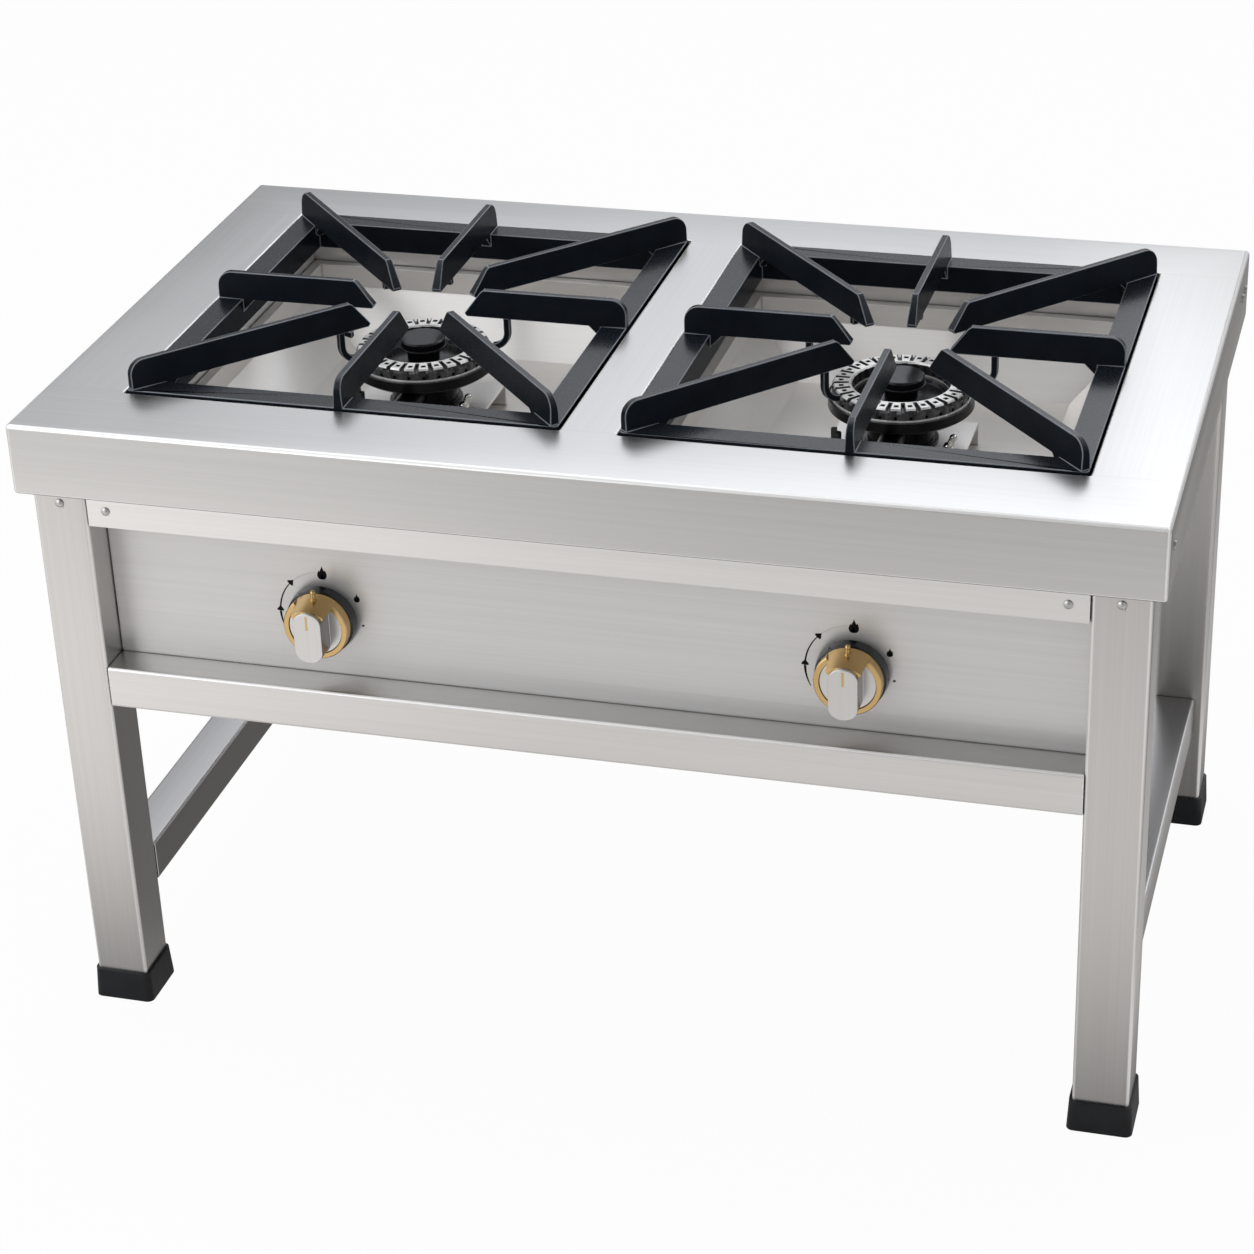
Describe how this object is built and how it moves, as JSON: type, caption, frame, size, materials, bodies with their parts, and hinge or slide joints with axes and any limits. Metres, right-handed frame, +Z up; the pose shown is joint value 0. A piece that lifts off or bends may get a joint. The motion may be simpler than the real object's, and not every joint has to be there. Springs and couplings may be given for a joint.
{
  "type": "two-burner gas stove",
  "caption": "Low stainless gas stove on square legs with a folded worktop, cast grates over ring burners, drip pans and push-and-turn taps behind a recessed panel.",
  "frame": {"origin": "on the floor, under the middle of the worktop", "axes": "+X to the right seen from the front, +Y to the rear, +Z up"},
  "size_m": [1.003, 0.6, 0.628],
  "materials": {
    "stainless": "brushed stainless sheet and tube",
    "liner": "smooth stainless sheet",
    "cast_iron": "satin black enamel on cast iron",
    "burner_iron": "smooth black enamel on cast iron",
    "crown": "bright machined top, dark sides",
    "foot_black": "satin black plastic",
    "knob_black": "glossy black plastic",
    "brass": "satin gold-coloured brass",
    "tap_brass": "turned brass",
    "copper": "drawn copper tube",
    "turned_steel": "brushed steel",
    "bolt_steel": "zinc-plated steel",
    "nickel": "polished nickel",
    "black_enamel": "black enamel"
  },
  "bodies": {
    "frame": {"worktop": "stainless", "leg_front_left": "stainless", "leg_front_right": "stainless", "leg_rear_left": "stainless", "leg_rear_right": "stainless", "foot_front_left": "foot_black", "foot_front_right": "foot_black", "foot_rear_left": "foot_black", "foot_rear_right": "foot_black", "front_fascia": "stainless", "rear_fascia": "stainless", "control_panel": "stainless", "rear_panel": "stainless", "lower_front_rail": "stainless", "lower_rear_rail": "stainless", "side_rail_left": "stainless", "side_rail_right": "stainless", "side_panel_left": "stainless", "side_panel_right": "stainless", "well_left": "liner", "well_right": "liner", "drip_pan_left": "liner", "drip_pan_right": "liner", "burner_bridge_left": "liner", "burner_bridge_right": "liner", "burner_body_left": "burner_iron", "burner_body_right": "burner_iron", "gas_tap_left": "tap_brass", "gas_tap_right": "tap_brass", "gas_rail": "turned_steel", "gas_inlet": "tap_brass", "supply_tube_left": "copper", "supply_tube_right": "copper", "injector_left": "tap_brass", "injector_right": "tap_brass", "flame_probe_left": "nickel", "flame_probe_right": "nickel", "igniter_left": "black_enamel", "igniter_right": "black_enamel", "frame_bolts": "bolt_steel", "apron_screws": "bolt_steel"},
    "grate_left": {"grate_left": "cast_iron"},
    "crown_left": {"burner_crown_left": "crown"},
    "cap_left": {"burner_cap_left": "burner_iron"},
    "plug_left": {"tap_plug_left": "tap_brass"},
    "knob_left": {"tap_stem_left": "turned_steel", "knob_skirt_left": "knob_black", "knob_ring_left": "brass", "knob_grip_left": "turned_steel"},
    "grate_right": {"grate_right": "cast_iron"},
    "crown_right": {"burner_crown_right": "crown"},
    "cap_right": {"burner_cap_right": "burner_iron"},
    "plug_right": {"tap_plug_right": "tap_brass"},
    "knob_right": {"tap_stem_right": "turned_steel", "knob_skirt_right": "knob_black", "knob_ring_right": "brass", "knob_grip_right": "turned_steel"}
  },
  "joints": [
    {"name": "grate_left_lift", "type": "slide", "parent": "frame", "child": "grate_left", "axis": [0, 0, 1], "range_m": [0, 0.15]},
    {"name": "crown_left_lift", "type": "slide", "parent": "frame", "child": "crown_left", "axis": [0, 0, 1], "range_m": [0, 0.025]},
    {"name": "cap_left_lift", "type": "slide", "parent": "frame", "child": "cap_left", "axis": [0, 0, 1], "range_m": [0, 0.05]},
    {"name": "knob_left_turn", "type": "hinge", "parent": "frame", "child": "plug_left", "pos_m": [-0.237, -0.22, 0.419], "axis": [0, 1, 0], "range_deg": [0, 120]},
    {"name": "knob_left_push", "type": "slide", "parent": "plug_left", "child": "knob_left", "axis": [0, 1, 0], "range_m": [0, 0.004], "stiffness_N_per_m": 800},
    {"name": "grate_right_lift", "type": "slide", "parent": "frame", "child": "grate_right", "axis": [0, 0, 1], "range_m": [0, 0.15]},
    {"name": "crown_right_lift", "type": "slide", "parent": "frame", "child": "crown_right", "axis": [0, 0, 1], "range_m": [0, 0.025]},
    {"name": "cap_right_lift", "type": "slide", "parent": "frame", "child": "cap_right", "axis": [0, 0, 1], "range_m": [0, 0.05]},
    {"name": "knob_right_turn", "type": "hinge", "parent": "frame", "child": "plug_right", "pos_m": [0.237, -0.22, 0.419], "axis": [0, 1, 0], "range_deg": [0, 120]},
    {"name": "knob_right_push", "type": "slide", "parent": "plug_right", "child": "knob_right", "axis": [0, 1, 0], "range_m": [0, 0.004], "stiffness_N_per_m": 800}
  ]
}
